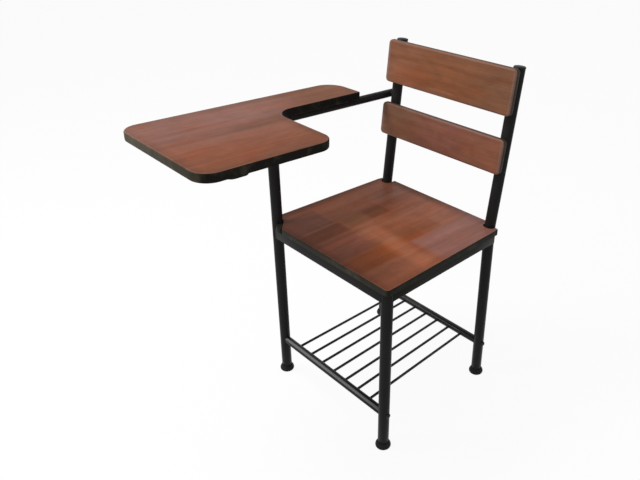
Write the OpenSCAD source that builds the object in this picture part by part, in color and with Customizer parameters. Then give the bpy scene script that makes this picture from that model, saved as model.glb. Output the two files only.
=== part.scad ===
// Student desk chair: bent tube legs, slatted back, wooden seat, right-hand writing tablet
// on the tall front leg, and a rod book rack under the seat. The sitter faces -Y, +Z is up.

/* [Tubes] */
// Outside diameter of the legs and back posts
leg_od = 25.4; // [22:0.1:32]
// Wall of the round and square tubes
tube_wall = 1.5; // [1:0.1:2.5]
// Outside diameter of the rack rails and the arm tube
small_od = 19; // [16:0.1:22]
// Diameter of the rack rods
rod_d = 6.5; // [4:0.5:10]

/* [Legs] */
// Distance between the front leg axes
front_span = 363; // [340:1:400]
// Distance between the rear post axes
rear_span = 334; // [315:1:360]
// Distance from the front leg axes back to the bend of the rear posts
bend_y = 347; // [320:1:380]
// Height of the bend in the rear posts
bend_z = 445; // [420:1:470]
// How far the rear feet stand behind the bend
rear_rake = 12.5; // [0:0.5:25]
// How far the rear foot on the sitter's right stands out past its bend
right_splay = 16; // [0:0.5:25]
// Backward lean of the rear posts above the bend, in degrees
post_lean = 6.4; // [3:0.1:10]
// Length of the rear posts above the bend
post_len = 358.7; // [340:0.1:380]
// Largest radius of a rubber foot
foot_r = 18; // [16:0.5:22]
// Height of a rubber foot
foot_h = 16; // [14:1:24]

/* [Seat] */
// Height of the seat surface
seat_z = 446; // [425:1:470]
// Thickness of the seat panel
seat_t = 15; // [12:0.5:20]
// Width of the seat panel at its front edge
seat_front_w = 396; // [380:1:430]
// Width of the seat panel at its rear edge
seat_rear_w = 382; // [370:1:410]
// How much further the front edge reaches past the tall leg, on the sitter's right
seat_flare = 6; // [0:0.5:10]
// How far the seat panel reaches in front of the front leg axes
seat_front_y = 16.5; // [14:0.5:25]
// Distance from the front leg axes to the rear edge of the seat panel
seat_rear_y = 360.5; // [350:0.5:390]
// Corner radius of the seat panel
seat_corner = 9; // [4:0.5:16]
// Corner radius of the seat panel at the rear, on the sitter's right
seat_rear_corner = 22; // [4:0.5:26]
// Size of the square front rail under the seat
front_rail = 25.4; // [20:0.1:26]
// Size of the square side and rear rails under the seat
side_rail = 22; // [18:0.5:24]

/* [Back] */
// Width of the back slats
slat_w = 366; // [340:1:400]
// Offset of the back slats towards the tablet's side
slat_shift = 1.8; // [0:0.1:4]
// Thickness of the back slats
slat_t = 16; // [12:0.5:20]
// Height of the upper slat
upper_h = 99.6; // [80:0.1:110]
// Distance from the bend up to the lower edge of the upper slat
upper_at = 260.7; // [250:0.1:275]
// Height of the lower slat
lower_h = 79.4; // [65:0.1:95]
// Distance from the bend up to the lower edge of the lower slat
lower_at = 131.3; // [115:0.1:150]
// Corner radius of the slats
slat_corner = 10; // [4:0.5:16]

/* [Tablet] */
// Height of the tablet surface above the tall front leg
tablet_z = 711.4; // [690:0.1:730]
// Thickness of the tablet
tablet_t = 18.5; // [15:0.5:25]
// Upward slope of the tablet towards its front, in degrees
tablet_slope = 2; // [0:0.1:5]
// Outer edge of the tablet at the arm's end, measured to the sitter's right of the middle
tablet_out = 274; // [260:0.5:300]
// How much further out that edge lies at the front
tablet_flare = 1.5; // [0:0.5:4]
// Left edge of the tablet at its rear corner, measured to the sitter's left of the middle
tablet_in = 37.5; // [0:0.5:60]
// How much nearer the middle that edge lies at the front
tablet_pinch = 2; // [0:0.5:4]
// Front edge of the tablet at the outer corner, in front of the front leg axes
tablet_front = 296.5; // [260:0.5:330]
// How much further forward that edge lies at the left corner
tablet_lead = 0.9; // [0:0.1:3]
// Rear end of the armrest strip, behind the front leg axes
arm_end = 253; // [220:0.5:280]
// Rear edge of the wide part at its inner corner, measured from the front leg axes
tablet_rear = -0.5; // [-10:0.5:10]
// How much further back that edge lies where it meets the arm
tablet_skew = 4; // [0:0.5:8]
// Radius of the three outer corners of the wide part
tablet_corner = 38; // [20:1:60]
// Radius of the inside corner between the wide part and the arm
arm_root_corner = 45; // [20:1:60]
// Radius of the arm's end corner towards the sitter
arm_tip_corner = 3.5; // [2:0.5:20]
// Radius of the arm's end corner away from the sitter
arm_outer_corner = 48; // [20:1:60]
// Width of the armrest strip
arm_w = 103.5; // [80:0.5:130]
// Thickness of the steel plate and bar under the tablet
plate_t = 4; // [3:0.5:6]
// Distance of the arm tube from the middle of the chair
arm_x = 189.4; // [180:0.1:200]

/* [Rack] */
// Height of the rack rails and rods
rack_z = 102; // [80:1:160]
// Spacing of the rods at the front rail
rod_front_gap = 42.5; // [36:0.5:46]
// Spacing of the rods at the rear rail
rod_rear_gap = 40; // [34:0.5:44]

/* [Hidden] */
$fn = 64;

leg_r = leg_od / 2;
leg_ri = leg_r - tube_wall;
small_r = small_od / 2;
small_ri = small_r - tube_wall;
front_x = front_span / 2;
rear_x = rear_span / 2;
foot_floor = 5.5;
rear_rail_y = bend_y + rear_rake * (1 - rack_z / bend_z);
seat_under = seat_z - seat_t;
seat_rail_y = bend_y + rear_rake * (1 - (seat_under - side_rail / 2) / bend_z);
side_front_x = front_x + leg_r - side_rail / 2;
side_taper = 6.2;
side_rear_x = side_front_x - side_taper;
side_turn = atan((side_front_x - side_rear_x) / bend_y);
post_dir = [0, sin(post_lean), cos(post_lean)];
cap_h = 4.8;
cap_r = leg_r + 0.6;
fit = 0.06;
press = 0.05;
rail_start = 4;
arm_start = 9.3;
arm_len = 374;
pilot_r = 2.1;
shank_r = 2;
hole_r = 2.3;
access_r = 5.2;
head_h = 2.4;
head_r = 4;
head_tip_r = 2.8;
bolt_r = 3;
bolt_thread_r = 3.1;
bolt_hole_r = 3.2;

// The drawing is moved so that the floor rectangle under the chair is centred on the origin
back_reach = bend_y + (post_len + 2) * sin(post_lean) + cap_r * cos(post_lean);
lead_reach = tablet_front + tablet_lead * (1 - tablet_corner / (tablet_out + tablet_in));
flare_reach = tablet_out + tablet_flare * (1 - tablet_corner / (tablet_front + arm_end));
front_reach = lead_reach * cos(tablet_slope) + tablet_t * sin(tablet_slope);
shift_x = (flare_reach - front_x - foot_r) / 2;
shift_y = (front_reach - back_reach) / 2;

seat_points = [[-seat_front_w / 2 - seat_flare, -seat_front_y], [seat_front_w / 2, -seat_front_y],
               [seat_rear_w / 2, seat_rear_y], [-seat_rear_w / 2, seat_rear_y]];
tablet_points = [[-tablet_out - tablet_flare, -tablet_front],
                 [tablet_in - tablet_pinch, -tablet_front - tablet_lead], [tablet_in, tablet_rear],
                 [arm_w - tablet_out, tablet_rear + tablet_skew], [arm_w - tablet_out, arm_end],
                 [-tablet_out, arm_end]];
tablet_radii = [tablet_corner, tablet_corner, tablet_corner,
                arm_root_corner, arm_tip_corner, arm_outer_corner];
slat_points = [[-slat_w / 2 - slat_shift, 0], [slat_w / 2 - slat_shift, 0],
               [slat_w / 2 - slat_shift, 1], [-slat_w / 2 - slat_shift, 1]];
upper_screws = [upper_at + 22, upper_at + 76];
lower_screws = [lower_at + 18, lower_at + 60];
// The steel plate on top of the tall leg, then the flat bar beside it
plate_from = [-222, -72];
plate_size = [53.2, 81];
plate_screws = [[-212, -60], [-180, -60], [-212, -4]];
bar_points = [[-168.6, -5], [33.5, -203], [33.5, -262], [-168.6, -64.6]];
bar_screws = [[-132, -68.6], [-62, -138.9], [8, -209.2]];
arm_screws = [58, 138, 222];
seat_front_screws = [-100, 100];
seat_rear_screws = [-95, 95];
seat_side_screws = [105, 245];
// What is cut off the seat around the tall leg, and the filler left there, from the axis of that leg
seat_cut = [[-48.5, -40], [64.1, -40], [6.1, leg_r + 0.5], [-48.5, leg_r + 0.5]];
filler_points = [[8.5, -9], [15.5, -15.2], [19.5, -seat_front_y], [37.6, -seat_front_y],
                 [17, 2.4], [11.4, 3.4]];

function unit(v) = v / norm(v);

// Lower length of a rear post: run from bend to floor, tube length, and sideways position at a height
function low_run(side) = [side < 0 ? -right_splay : 0, rear_rake, -bend_z];
function low_len(side) = norm(low_run(side)) - foot_floor;
function low_x(side, z) = side * rear_x + low_run(side).x * (1 - z / bend_z);

function spin(from, to) = ((to - from + 540) % 360) - 180;
function corner_arc(a, b, c, r, n) =
    let (u = unit(a - b),
         w = unit(c - b),
         half = acos(u * w) / 2,
         middle = b + unit(u + w) * r / sin(half),
         first = b + u * r / tan(half) - middle,
         last = b + w * r / tan(half) - middle,
         start = atan2(first.y, first.x),
         turn = spin(start, atan2(last.y, last.x)))
    [for (i = [0 : n]) middle + r * [cos(start + turn * i / n), sin(start + turn * i / n)]];
function rounded(points, radii, n) =
    let (count = len(points))
    [for (i = [0 : count - 1])
        each corner_arc(points[(i + count - 1) % count], points[i], points[(i + 1) % count], radii[i], n)];

module steel() {
    color([0.08, 0.08, 0.085]) translate([shift_x, shift_y, 0]) children();
}

module rubber() {
    color([0.05, 0.05, 0.05]) translate([shift_x, shift_y, 0]) children();
}

module wood() {
    color([0.45, 0.25, 0.17]) translate([shift_x, shift_y, 0]) children();
}

// Frame at the bend of a rear post with its Z along the upper length
module post_frame(side) {
    translate([side * rear_x, bend_y, bend_z]) rotate([-post_lean, 0, 0]) children();
}

// Frame at the bend of a rear post with its Z along the lower length, pointing up
module low_frame(side) {
    up = -unit(low_run(side));
    turn = atan2(up.y, up.x);
    translate([side * rear_x, bend_y, bend_z]) rotate([0, acos(up.z), turn])
        rotate([0, 0, (side < 0 ? 180 : 0) - turn]) children();
}

// Frame at the bend of a rear post whose XY plane is the mitre between the two lengths
module mitre_frame(side) {
    low_dir = unit(low_run(side));
    n = unit(post_dir - low_dir);
    v = unit(post_dir + low_dir);
    u = cross(v, n);
    multmatrix([[u.x, v.x, n.x, side * rear_x],
                [u.y, v.y, n.y, bend_y],
                [u.z, v.z, n.z, bend_z],
                [0, 0, 0, 1]]) children();
}

module tablet_frame() {
    translate([0, 0, tablet_z]) rotate([-tablet_slope, 0, 0]) children();
}

// Straight bar along the lower length of a rear post, running a little past the bend
module low_bar(side, r) {
    low_frame(side) translate([0, 0, -low_len(side)]) cylinder(r = r, h = low_len(side) + 8);
}

// Tube running down from the mitre at the given tilt, cut along the mitre plane
module tube_below(tilt, length) {
    difference() {
        rotate([tilt, 0, 0]) translate([0, 0, -length]) cylinder(r = leg_r, h = length + 5);
        rotate([tilt, 0, 0]) translate([0, 0, -length - 1]) cylinder(r = leg_ri, h = length + 9);
        translate([-20, -20, 0]) cube(40);
    }
}

module front_bar(side, r) {
    translate([side * front_x, 0, 0]) cylinder(r = r, h = 760);
}

module across(x0, x1, y, z, r) {
    translate([x0, y, z]) rotate([0, 90, 0]) cylinder(r = r, h = x1 - x0);
}

module rear_leg(side) {
    tilt = acos(-unit(low_run(side)) * post_dir) / 2;
    difference() {
        mitre_frame(side) {
            tube_below(tilt, low_len(side));
            mirror([0, 0, 1]) tube_below(tilt, post_len);
        }
        across(low_x(side, rack_z) - 20, low_x(side, rack_z) + 20, rear_rail_y, rack_z, bolt_hole_r);
        for (at = concat(upper_screws, lower_screws))
            post_frame(side) translate([0, -20, at]) rotate([-90, 0, 0]) cylinder(r = hole_r, h = 40);
    }
}

module front_left_leg() {
    steel() difference() {
        translate([front_x, 0, foot_floor]) cylinder(r = leg_r, h = seat_under - foot_floor);
        translate([front_x, 0, foot_floor - 1]) cylinder(r = leg_ri, h = seat_under - foot_floor + 2);
        across(front_x - 20, front_x + 20, 0, rack_z, bolt_hole_r);
    }
}

module front_right_leg() {
    steel() difference() {
        translate([-front_x, 0, foot_floor]) cylinder(r = leg_r, h = tablet_z - foot_floor);
        translate([-front_x, 0, foot_floor - 1]) cylinder(r = leg_ri, h = tablet_z);
        tablet_frame() translate([-front_x - 30, -30, -tablet_t - plate_t]) cube([60, 60, 60]);
        across(-front_x - 20, 20 - front_x, 0, rack_z, bolt_hole_r);
    }
}

module rear_left_leg() {
    steel() rear_leg(1);
}

module rear_right_leg() {
    steel() rear_leg(-1);
}

module seat_front_rail() {
    low = seat_under - front_rail;
    steel() difference() {
        translate([rail_start - front_x, -front_rail / 2, low])
            cube([front_span - 2 * rail_start, front_rail, front_rail]);
        translate([-front_x, tube_wall - front_rail / 2, low + tube_wall])
            cube([front_span, front_rail - 2 * tube_wall, front_rail - 2 * tube_wall]);
        front_bar(1, leg_r + fit);
        front_bar(-1, leg_r + fit);
        for (x = seat_front_screws)
            translate([x, 0, low - 1]) cylinder(r = hole_r, h = front_rail + 2);
    }
}

module seat_rear_rail() {
    low = seat_under - side_rail;
    steel() difference() {
        translate([rail_start - rear_x, seat_rail_y - side_rail / 2, low])
            cube([rear_span - 2 * rail_start, side_rail, side_rail]);
        translate([-rear_x, seat_rail_y - side_rail / 2 + tube_wall, low + tube_wall])
            cube([rear_span, side_rail - 2 * tube_wall, side_rail - 2 * tube_wall]);
        low_bar(1, leg_r + fit);
        low_bar(-1, leg_r + fit);
        for (x = seat_rear_screws)
            translate([x, seat_rail_y, low - 1]) cylinder(r = hole_r, h = side_rail + 2);
    }
}

// Side rail: square tube running back from the front leg and dying into the side of the rear post
module seat_side_rail(side) {
    low = seat_under - side_rail;
    difference() {
        translate([side * side_front_x, 0, low]) rotate([0, 0, side * side_turn])
            translate([-side_rail / 2, rail_start, 0]) cube([side_rail, bend_y - 10, side_rail]);
        translate([side * side_front_x, 0, low + tube_wall]) rotate([0, 0, side * side_turn])
            translate([tube_wall - side_rail / 2, 0, 0])
                cube([side_rail - 2 * tube_wall, bend_y - 8, side_rail - 2 * tube_wall]);
        front_bar(side, leg_r + fit);
        low_bar(side, leg_r + fit);
        translate([side * (front_x - 15) - 11, -20, low - 10]) cube([22, front_rail / 2 + 20.1, 60]);
        for (y = seat_side_screws)
            translate([side * (side_front_x - y * tan(side_turn)), y, low - 1])
                cylinder(r = hole_r, h = side_rail + 2);
    }
}

module seat_left_rail() {
    steel() seat_side_rail(1);
}

module seat_right_rail() {
    steel() seat_side_rail(-1);
}

// Filler between the cut seat corner and the tall leg
module corner_block() {
    steel() difference() {
        translate([-front_x, 0, seat_under]) linear_extrude(seat_t - 1.5)
            polygon(filler_points);
        front_bar(-1, leg_r + fit);
    }
}

module arm_tube() {
    steel() difference() {
        tablet_frame() translate([-arm_x, arm_start, -tablet_t - small_r]) rotate([-90, 0, 0])
            cylinder(r = small_r, h = arm_len);
        tablet_frame() translate([-arm_x, 0, -tablet_t - small_r]) rotate([-90, 0, 0])
            cylinder(r = small_ri, h = 400);
        front_bar(-1, leg_r + fit);
        for (y = arm_screws)
            tablet_frame() translate([-arm_x, y, -tablet_t - small_od - 1]) {
                cylinder(r = hole_r, h = small_od + 2);
                cylinder(r = access_r, h = small_r + 1);
            }
    }
}

module arm_plug() {
    plug_y = arm_start + arm_len;
    rubber() tablet_frame() translate([-arm_x, plug_y, -tablet_t - small_r]) rotate([-90, 0, 0]) {
        translate([0, 0, -10]) cylinder(r = small_ri - press, h = 10);
        cylinder(r1 = small_r, r2 = small_r - 1.2, h = 2.5);
    }
}

module tablet_plate() {
    steel() tablet_frame() difference() {
        translate([plate_from.x, plate_from.y, -tablet_t - plate_t])
            cube([plate_size.x, plate_size.y, plate_t]);
        for (p = plate_screws)
            translate([p.x, p.y, -tablet_t - plate_t - 1]) cylinder(r = hole_r, h = plate_t + 2);
    }
}

// Flat bar carrying the wide front of the tablet, from the plate out to the left edge
module tablet_bar() {
    steel() tablet_frame() difference() {
        translate([0, 0, -tablet_t - plate_t]) linear_extrude(plate_t)
            polygon(bar_points);
        for (p = bar_screws)
            translate([p.x, p.y, -tablet_t - plate_t - 1]) cylinder(r = hole_r, h = plate_t + 2);
    }
}

module rack_front_rail() {
    steel() difference() {
        across(rail_start - front_x, front_x - rail_start, 0, rack_z, small_r);
        across(-front_x, front_x, 0, rack_z, small_ri);
        front_bar(1, leg_r + fit);
        front_bar(-1, leg_r + fit);
    }
}

module rack_rear_rail() {
    steel() difference() {
        across(low_x(-1, rack_z) + rail_start, rear_x - rail_start, rear_rail_y, rack_z, small_r);
        across(low_x(-1, rack_z), rear_x, rear_rail_y, rack_z, small_ri);
        low_bar(1, leg_r + fit);
        low_bar(-1, leg_r + fit);
    }
}

// Rod number 1 to 7, counted from the sitter's right, butting against the two rails
module rack_rod(number) {
    x0 = (number - 4) * rod_front_gap;
    x1 = (rear_x + low_x(-1, rack_z)) / 2 + (number - 4) * rod_rear_gap;
    turn = atan((x0 - x1) / rear_rail_y);
    steel() difference() {
        translate([x0, 0, rack_z]) rotate([0, 0, turn]) rotate([-90, 0, 0])
            cylinder(r = rod_d / 2, h = rear_rail_y / cos(turn), $fn = 32);
        across(-front_x, front_x, 0, rack_z, small_r + fit);
        across(-front_x, front_x, rear_rail_y, rack_z, small_r + fit);
    }
}

module rack_rod_1() {
    rack_rod(1);
}

module rack_rod_2() {
    rack_rod(2);
}

module rack_rod_3() {
    rack_rod(3);
}

module rack_rod_4() {
    rack_rod(4);
}

module rack_rod_5() {
    rack_rod(5);
}

module rack_rod_6() {
    rack_rod(6);
}

module rack_rod_7() {
    rack_rod(7);
}

// Threaded plugs inside the four rail ends, which the rack bolts screw into
module rack_insert(side, x, y) {
    steel() difference() {
        across(side > 0 ? x - 32 : 18 - x, side > 0 ? x - 18 : 32 - x, y, rack_z, small_ri - press);
        across(side > 0 ? x - 40 : 10 - x, side > 0 ? x - 10 : 40 - x, y, rack_z, bolt_thread_r);
    }
}

module rack_inserts() {
    for (side = [-1, 1]) {
        rack_insert(side, front_x, 0);
        rack_insert(side, side * low_x(side, rack_z), rear_rail_y);
    }
}

// Domed bolt head drawn along +Z with the leg axis at the origin
module bolt_head() {
    intersection() {
        translate([0, 0, leg_r - 3.2]) sphere(r = 7.6);
        translate([0, 0, leg_r - 1.7]) cylinder(r = 6.2, h = 8);
    }
}

module bolt_shank() {
    translate([0, 0, -30]) cylinder(r = bolt_r, h = leg_r + 31, $fn = 32);
}

module rack_bolts() {
    for (side = [-1, 1]) {
        steel() difference() {
            translate([side * front_x, 0, rack_z]) rotate([0, side * 90, 0]) bolt_head();
            front_bar(side, leg_r + fit);
        }
        steel() translate([side * front_x, 0, rack_z]) rotate([0, side * 90, 0]) bolt_shank();
        steel() difference() {
            translate([low_x(side, rack_z), rear_rail_y, rack_z]) rotate([0, side * 90, 0]) bolt_head();
            low_bar(side, leg_r + fit);
        }
        steel() translate([low_x(side, rack_z), rear_rail_y, rack_z]) rotate([0, side * 90, 0]) bolt_shank();
    }
}

module foot_body() {
    rotate_extrude()
        polygon([[0, 0], [foot_r - 4.5, 0], [foot_r - 2.6, 0.5], [foot_r - 1.1, 1.8], [foot_r - 0.2, 3.8],
                 [foot_r, 5.8], [foot_r - 0.3, 7.9], [foot_r - 1, 9.8], [foot_r - 2, 11.6],
                 [leg_r + 2.4, foot_h - 2.8], [leg_r + 1.8, foot_h - 1.2], [leg_r + 1.2, foot_h],
                 [0, foot_h]]);
}

module front_foot(side) {
    rubber() difference() {
        translate([side * front_x, 0, 0]) foot_body();
        translate([side * front_x, 0, foot_floor]) cylinder(r = leg_r + 0.03, h = foot_h);
    }
}

module rear_foot(side) {
    rubber() difference() {
        translate([low_x(side, 0), bend_y + rear_rake, 0]) foot_body();
        low_frame(side) translate([0, 0, -low_len(side)]) cylinder(r = leg_r + 0.03, h = 60);
    }
}

module foot_front_left() {
    front_foot(1);
}

module foot_front_right() {
    front_foot(-1);
}

module foot_rear_left() {
    rear_foot(1);
}

module foot_rear_right() {
    rear_foot(-1);
}

// Plug with a domed head closing the top of a rear post
module post_cap(side) {
    rubber() post_frame(side) translate([0, 0, post_len]) rotate_extrude()
        polygon([[0, -14], [leg_ri - press, -14], [leg_ri - press, 0], [cap_r, 0], [cap_r, 2.2],
                 [cap_r - 0.7, 3.3], [cap_r - 2.4, 4.1], [cap_r - 6, cap_h], [0, cap_h]]);
}

module cap_left() {
    post_cap(1);
}

module cap_right() {
    post_cap(-1);
}

module seat_panel() {
    wood() difference() {
        translate([0, 0, seat_under]) linear_extrude(seat_t)
            polygon(rounded(seat_points, [seat_corner, seat_corner, seat_corner, seat_rear_corner], 8));
        for (side = [-1, 1]) {
            translate([side * rear_x, bend_y, seat_under - 1]) cylinder(r = leg_r + 1, h = seat_t + 2);
            translate([side * rear_x - leg_r - 0.9, bend_y, seat_under - 1])
                cube([leg_od + (side > 0 ? 30 : 1.8), 30, seat_t + 2]);
        }
        translate([-front_x, 0, seat_under - 1]) linear_extrude(seat_t + 2)
            polygon(seat_cut);
        seat_screw_set(pilot_r, 9.5, 0);
    }
}

// All seat screws at once: shanks of the given radius rising past the underside of the panel
module seat_screw_set(r, above, head) {
    spots = concat([for (x = seat_front_screws) [x, 0, front_rail]],
                   [for (x = seat_rear_screws) [x, seat_rail_y, side_rail]],
                   [for (side = [-1, 1], y = seat_side_screws)
                       [side * (side_front_x - y * tan(side_turn)), y, side_rail]]);
    for (s = spots)
        translate([s.x, s.y, seat_under - s.z]) {
            translate([0, 0, -head / 2]) cylinder(r = r, h = s.z + above + head / 2, $fn = 32);
            if (head > 0) translate([0, 0, -head]) cylinder(r1 = head_tip_r, r2 = head_r, h = head, $fn = 32);
        }
}

module seat_screws() {
    steel() seat_screw_set(shank_r, 9, head_h);
}

module slat(at, height, screws) {
    wood() difference() {
        post_frame(0) translate([0, -leg_r, at]) rotate([90, 0, 0]) linear_extrude(slat_t)
            polygon(rounded([for (p = slat_points) [p.x, p.y * height]],
                            [slat_corner, slat_corner, slat_corner, slat_corner], 8));
        for (side = [-1, 1], z = screws)
            post_frame(side) translate([0, -leg_r - 11.5, z]) rotate([-90, 0, 0])
                cylinder(r = pilot_r, h = 20, $fn = 32);
    }
}

module back_slat_upper() {
    slat(upper_at, upper_h, upper_screws);
}

module back_slat_lower() {
    slat(lower_at, lower_h, lower_screws);
}

// Screws entering from behind the posts and ending inside the slats
module slat_screws() {
    for (side = [-1, 1], z = concat(upper_screws, lower_screws))
        steel() post_frame(side) translate([0, -leg_r - 11, z]) rotate([-90, 0, 0]) {
            cylinder(r = shank_r, h = leg_od + 12, $fn = 32);
            translate([0, 0, leg_od + 11]) cylinder(r1 = 4.2, r2 = 2.9, h = 2.4, $fn = 32);
        }
}

module tablet() {
    wood() tablet_frame() difference() {
        translate([0, 0, -tablet_t]) linear_extrude(tablet_t)
            polygon(rounded(tablet_points, tablet_radii, 12));
        tablet_screw_set(pilot_r, 11.5, 0);
    }
}

// All tablet screws at once, in the frame of the tablet: plate and bar screws, then the arm tube
// screws, whose heads sit inside the tube
module tablet_screw_set(r, above, head) {
    spots = concat([for (p = concat(plate_screws, bar_screws)) [p.x, p.y, plate_t]],
                   [for (y = arm_screws) [-arm_x, y, tube_wall + 1.15]]);
    for (s = spots)
        translate([s.x, s.y, -tablet_t - s.z]) {
            translate([0, 0, -head / 2]) cylinder(r = r, h = s.z + above + head / 2, $fn = 32);
            if (head > 0) translate([0, 0, -head]) cylinder(r1 = head_tip_r, r2 = head_r, h = head, $fn = 32);
        }
}

module tablet_screws() {
    steel() tablet_frame() tablet_screw_set(shank_r, 11, head_h);
}

front_left_leg();
front_right_leg();
rear_left_leg();
rear_right_leg();
seat_front_rail();
seat_rear_rail();
seat_left_rail();
seat_right_rail();
corner_block();
arm_tube();
arm_plug();
tablet_plate();
tablet_bar();
rack_front_rail();
rack_rear_rail();
rack_rod_1();
rack_rod_2();
rack_rod_3();
rack_rod_4();
rack_rod_5();
rack_rod_6();
rack_rod_7();
rack_inserts();
rack_bolts();
foot_front_left();
foot_front_right();
foot_rear_left();
foot_rear_right();
cap_left();
cap_right();
seat_panel();
seat_screws();
back_slat_upper();
back_slat_lower();
slat_screws();
tablet();
tablet_screws();
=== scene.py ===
from math import atan2, cos, pi, radians, sin, tan

import bpy
import numpy as np
from mathutils import Matrix, Vector


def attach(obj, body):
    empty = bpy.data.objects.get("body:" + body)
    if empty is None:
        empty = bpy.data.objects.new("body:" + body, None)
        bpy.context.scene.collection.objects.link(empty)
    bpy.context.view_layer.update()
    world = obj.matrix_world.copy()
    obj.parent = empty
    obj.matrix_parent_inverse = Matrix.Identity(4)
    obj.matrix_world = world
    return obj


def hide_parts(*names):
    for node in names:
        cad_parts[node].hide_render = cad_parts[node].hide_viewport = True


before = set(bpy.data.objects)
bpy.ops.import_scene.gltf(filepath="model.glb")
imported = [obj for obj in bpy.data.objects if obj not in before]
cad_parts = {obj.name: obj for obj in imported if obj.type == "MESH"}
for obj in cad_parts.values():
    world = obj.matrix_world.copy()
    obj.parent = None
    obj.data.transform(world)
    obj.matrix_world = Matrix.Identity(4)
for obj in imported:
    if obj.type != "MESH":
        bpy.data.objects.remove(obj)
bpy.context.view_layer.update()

# Sizes of the chair in millimetres, as the solids have them. The sitter faces -Y, their right is -X.
LEG_R, SMALL_R, ROD_R = 12.7, 9.5, 3.25
FRONT_X, REAR_X = 181.5, 167.0
BEND_Y, BEND_Z = 347.0, 445.0
RAKE, SPLAY = 12.5, 16.0
POST_LEAN, POST_LEN = radians(6.4), 358.7
FOOT_R, FOOT_FLOOR = 18.0, 5.5
CAP_R = LEG_R + 0.6
SEAT_Z, SEAT_T = 446.0, 15.0
SEAT_UNDER = SEAT_Z - SEAT_T
SEAT_FRONT, SEAT_REAR = -16.5, 360.5
FRONT_RAIL, SIDE_RAIL, RAIL_START, SIDE_TAPER = 25.4, 22.0, 4.0, 6.2
SLAT_W, SLAT_T, SLAT_SHIFT, SLAT_CORNER = 366.0, 16.0, 1.8, 10.0
UPPER_AT, UPPER_H = 260.7, 99.6
LOWER_AT, LOWER_H = 131.3, 79.4
TABLET_Z, TABLET_T, TABLET_SLOPE = 711.4, 18.5, radians(2.0)
TABLET_OUT, TABLET_IN, TABLET_FRONT = 274.0, 37.5, 296.5
TABLET_FLARE, TABLET_PINCH, TABLET_LEAD = 1.5, 2.0, 0.9
TABLET_REAR, TABLET_SKEW = -0.5, 4.0
TABLET_RADII = [38, 38, 38, 45, 3.5, 48]
ARM_END, ARM_W, ARM_X, PLATE_T = 253.0, 103.5, 189.4, 4.0
ARM_TUBE_END, ARM_HEAD_DROP = 383.3, 2.65
OUTER_LEAN = TABLET_FLARE / (TABLET_FRONT + ARM_END)
RACK_Z, ROD_FRONT_GAP, ROD_REAR_GAP = 102.0, 42.5, 40.0

# Size of each kind of weld bead, and the length of a ripple in it
LEG_WELD, SIDE_WELD, ROD_WELD, SEAM_WELD, ARM_WELD = 1.9, 1.2, 1.25, 2.2, 2.0
WELD_PITCH, ROD_WELD_PITCH = 2.7, 2.2

# Places of the wood screws: up the slats, along the rails and the arm tube, (x, y) under the tablet
UPPER_SCREWS, LOWER_SCREWS = (22.0, 76.0), (18.0, 60.0)
SEAT_FRONT_SCREWS, SEAT_REAR_SCREWS, SEAT_SIDE_SCREWS = (-100, 100), (-95, 95), (105, 245)
PLATE_SCREWS = ((-212, -60), (-180, -60), (-212, -4))
BAR_SCREWS = ((-132, -68.6), (-62, -138.9), (8, -209.2))
ARM_SCREWS = (58, 138, 222)

BACK_REACH = BEND_Y + (POST_LEN + 2) * sin(POST_LEAN) + CAP_R * cos(POST_LEAN)
LEAD_REACH = TABLET_FRONT + TABLET_LEAD * (1 - TABLET_RADII[1] / (TABLET_OUT + TABLET_IN))
FLARE_REACH = TABLET_OUT + TABLET_FLARE - TABLET_RADII[0] * OUTER_LEAN
FRONT_REACH = LEAD_REACH * cos(TABLET_SLOPE) + TABLET_T * sin(TABLET_SLOPE)
SHIFT = np.array([(FLARE_REACH - FRONT_X - FOOT_R) / 2, (FRONT_REACH - BACK_REACH) / 2, 0.0])

scene = bpy.context.scene
X, Y, Z = np.eye(3)
POST_UP = np.array([0, sin(POST_LEAN), cos(POST_LEAN)])


# Shapes

def unit(v):
    """Vectors divided by their lengths."""
    v = np.asarray(v, float)
    return v / np.linalg.norm(v, axis=-1, keepdims=True)


def axes(origin, z_axis, x_hint):
    """A function from local points to chair millimetres: z along z_axis, x as near x_hint as it can be."""
    z = unit(z_axis)
    x = unit(np.asarray(x_hint, float) - np.dot(x_hint, z) * z)
    turn = np.stack([x, np.cross(z, x), z])
    return lambda points: np.asarray(points, float) @ turn + origin


def quads(rows, columns, wrap_rows=False):
    """Four-cornered faces of a grid whose columns close on themselves, and whose rows may too."""
    r = np.arange(rows if wrap_rows else rows - 1)[:, None]
    c = np.arange(columns)[None, :]
    r1, c1 = (r + 1) % rows, (c + 1) % columns
    corners = [r * columns + c, r * columns + c1, r1 * columns + c1, r1 * columns + c]
    return np.stack(np.broadcast_arrays(*corners), axis=-1).reshape(-1, 4).tolist()


def closed(grid):
    """Vertices and faces of a grid of rings (rows, columns, 3), with a flat face over each end ring."""
    rows, columns = grid.shape[:2]
    ring = np.arange(columns)
    faces = quads(rows, columns)
    faces += [ring[::-1].tolist(), (ring + (rows - 1) * columns).tolist()]
    return grid.reshape(-1, 3), faces


def piece(name, shells, material, nodes=(), edge=None):
    """One smooth piece of one or more shells (vertices in chair millimetres, faces), placed in metres."""
    count, points, faces = 0, [], []
    for vertices, polygons in shells:
        points.append(vertices)
        faces += [[i + count for i in polygon] for polygon in polygons] if count else polygons
        count += len(vertices)
    mesh = bpy.data.meshes.new(name)
    mesh.from_pydata(((np.concatenate(points) + SHIFT) / 1000).tolist(), [], faces)
    mesh.polygons.foreach_set("use_smooth", np.ones(len(faces), bool))
    if edge is not None:
        mesh.attributes.new("edge", "FLOAT", "POINT").data.foreach_set("value", edge.astype(np.float32))
    mesh.materials.append(material)
    mesh.update()
    made = bpy.data.objects.new(name, mesh)
    scene.collection.objects.link(made)
    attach(made, "root")
    if nodes:
        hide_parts(*nodes)


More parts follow.
